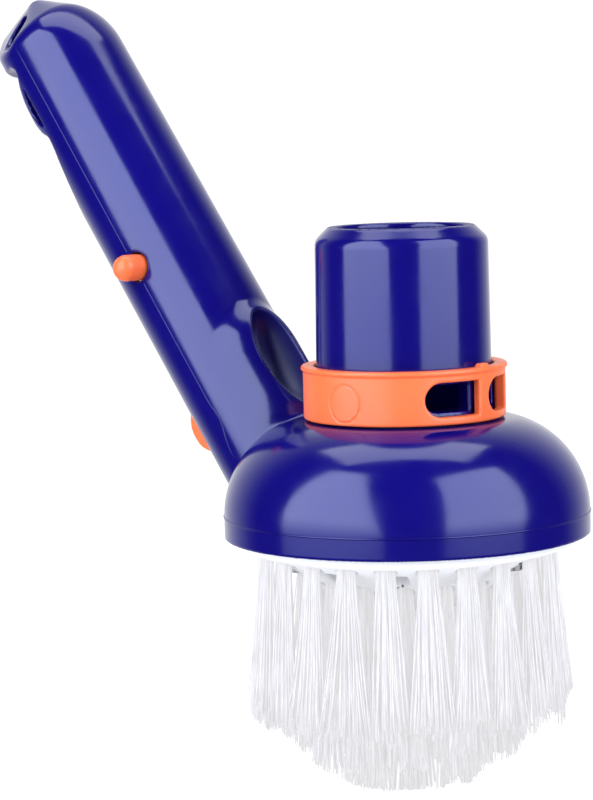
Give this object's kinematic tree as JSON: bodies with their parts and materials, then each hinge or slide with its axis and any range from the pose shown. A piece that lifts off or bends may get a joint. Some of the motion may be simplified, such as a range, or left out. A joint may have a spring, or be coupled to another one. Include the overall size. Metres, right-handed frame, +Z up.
{
  "type": "pool wall brush",
  "caption": "Round vacuum brush with a domed head, hose neck with a turning suction collar, domed bristle block and a slanted snap-in pole handle.",
  "frame": {"origin": "centre of the footprint, on the surface that the longest bristle tips touch", "axes": "+Z up along the hose neck; the handle leans back towards -X; +Y to the left flank of the handle"},
  "size_m": [0.174, 0.081, 0.1774],
  "materials": {
    "blue_plastic": "glossy injection-moulded dark blue",
    "orange_plastic": "satin moulded orange",
    "white_plastic": "satin moulded white",
    "bristle": "milky white nylon filament",
    "steel": "stainless"
  },
  "bodies": {
    "body": {"brush_body": "blue_plastic", "bristle_block": "white_plastic", "clip_spring": "orange_plastic", "tuft_outer_01": "bristle", "tuft_outer_02": "bristle", "tuft_outer_03": "bristle", "tuft_outer_04": "bristle", "tuft_outer_05": "bristle", "tuft_outer_06": "bristle", "tuft_outer_07": "bristle", "tuft_outer_08": "bristle", "tuft_outer_09": "bristle", "tuft_outer_10": "bristle", "tuft_outer_11": "bristle", "tuft_outer_12": "bristle", "tuft_outer_13": "bristle", "tuft_outer_14": "bristle", "tuft_outer_15": "bristle", "tuft_outer_16": "bristle", "tuft_outer_17": "bristle", "tuft_outer_18": "bristle", "tuft_outer_19": "bristle", "tuft_outer_20": "bristle", "tuft_outer_21": "bristle", "tuft_outer_22": "bristle", "tuft_outer_23": "bristle", "tuft_middle_01": "bristle", "tuft_middle_02": "bristle", "tuft_middle_03": "bristle", "tuft_middle_04": "bristle", "tuft_middle_05": "bristle", "tuft_middle_06": "bristle", "tuft_middle_07": "bristle", "tuft_middle_08": "bristle", "tuft_middle_09": "bristle", "tuft_middle_10": "bristle", "tuft_middle_11": "bristle", "tuft_middle_12": "bristle", "tuft_middle_13": "bristle", "tuft_middle_14": "bristle", "tuft_middle_15": "bristle", "tuft_middle_16": "bristle", "tuft_inner_01": "bristle", "tuft_inner_02": "bristle", "tuft_inner_03": "bristle", "tuft_inner_04": "bristle", "tuft_inner_05": "bristle", "tuft_inner_06": "bristle", "tuft_inner_07": "bristle", "tuft_inner_08": "bristle", "tuft_inner_09": "bristle", "block_screw_1": "steel", "block_screw_2": "steel", "block_screw_3": "steel"},
    "regulator": {"regulator_ring": "orange_plastic"},
    "snap_right": {"button_right": "orange_plastic"},
    "snap_left": {"button_left": "orange_plastic"}
  },
  "joints": [
    {"name": "regulator_turn", "type": "hinge", "parent": "body", "child": "regulator", "pos_m": [0.04646, 0, 0.087], "axis": [0, 0, 1], "continuous": true},
    {"name": "snap_right_press", "type": "slide", "parent": "body", "child": "snap_right", "axis": [0, 1, 0], "range_m": [0, 0.006], "stiffness_N_per_m": 900},
    {"name": "snap_left_press", "type": "slide", "parent": "body", "child": "snap_left", "axis": [0, -1, 0], "range_m": [0, 0.006], "stiffness_N_per_m": 900}
  ]
}
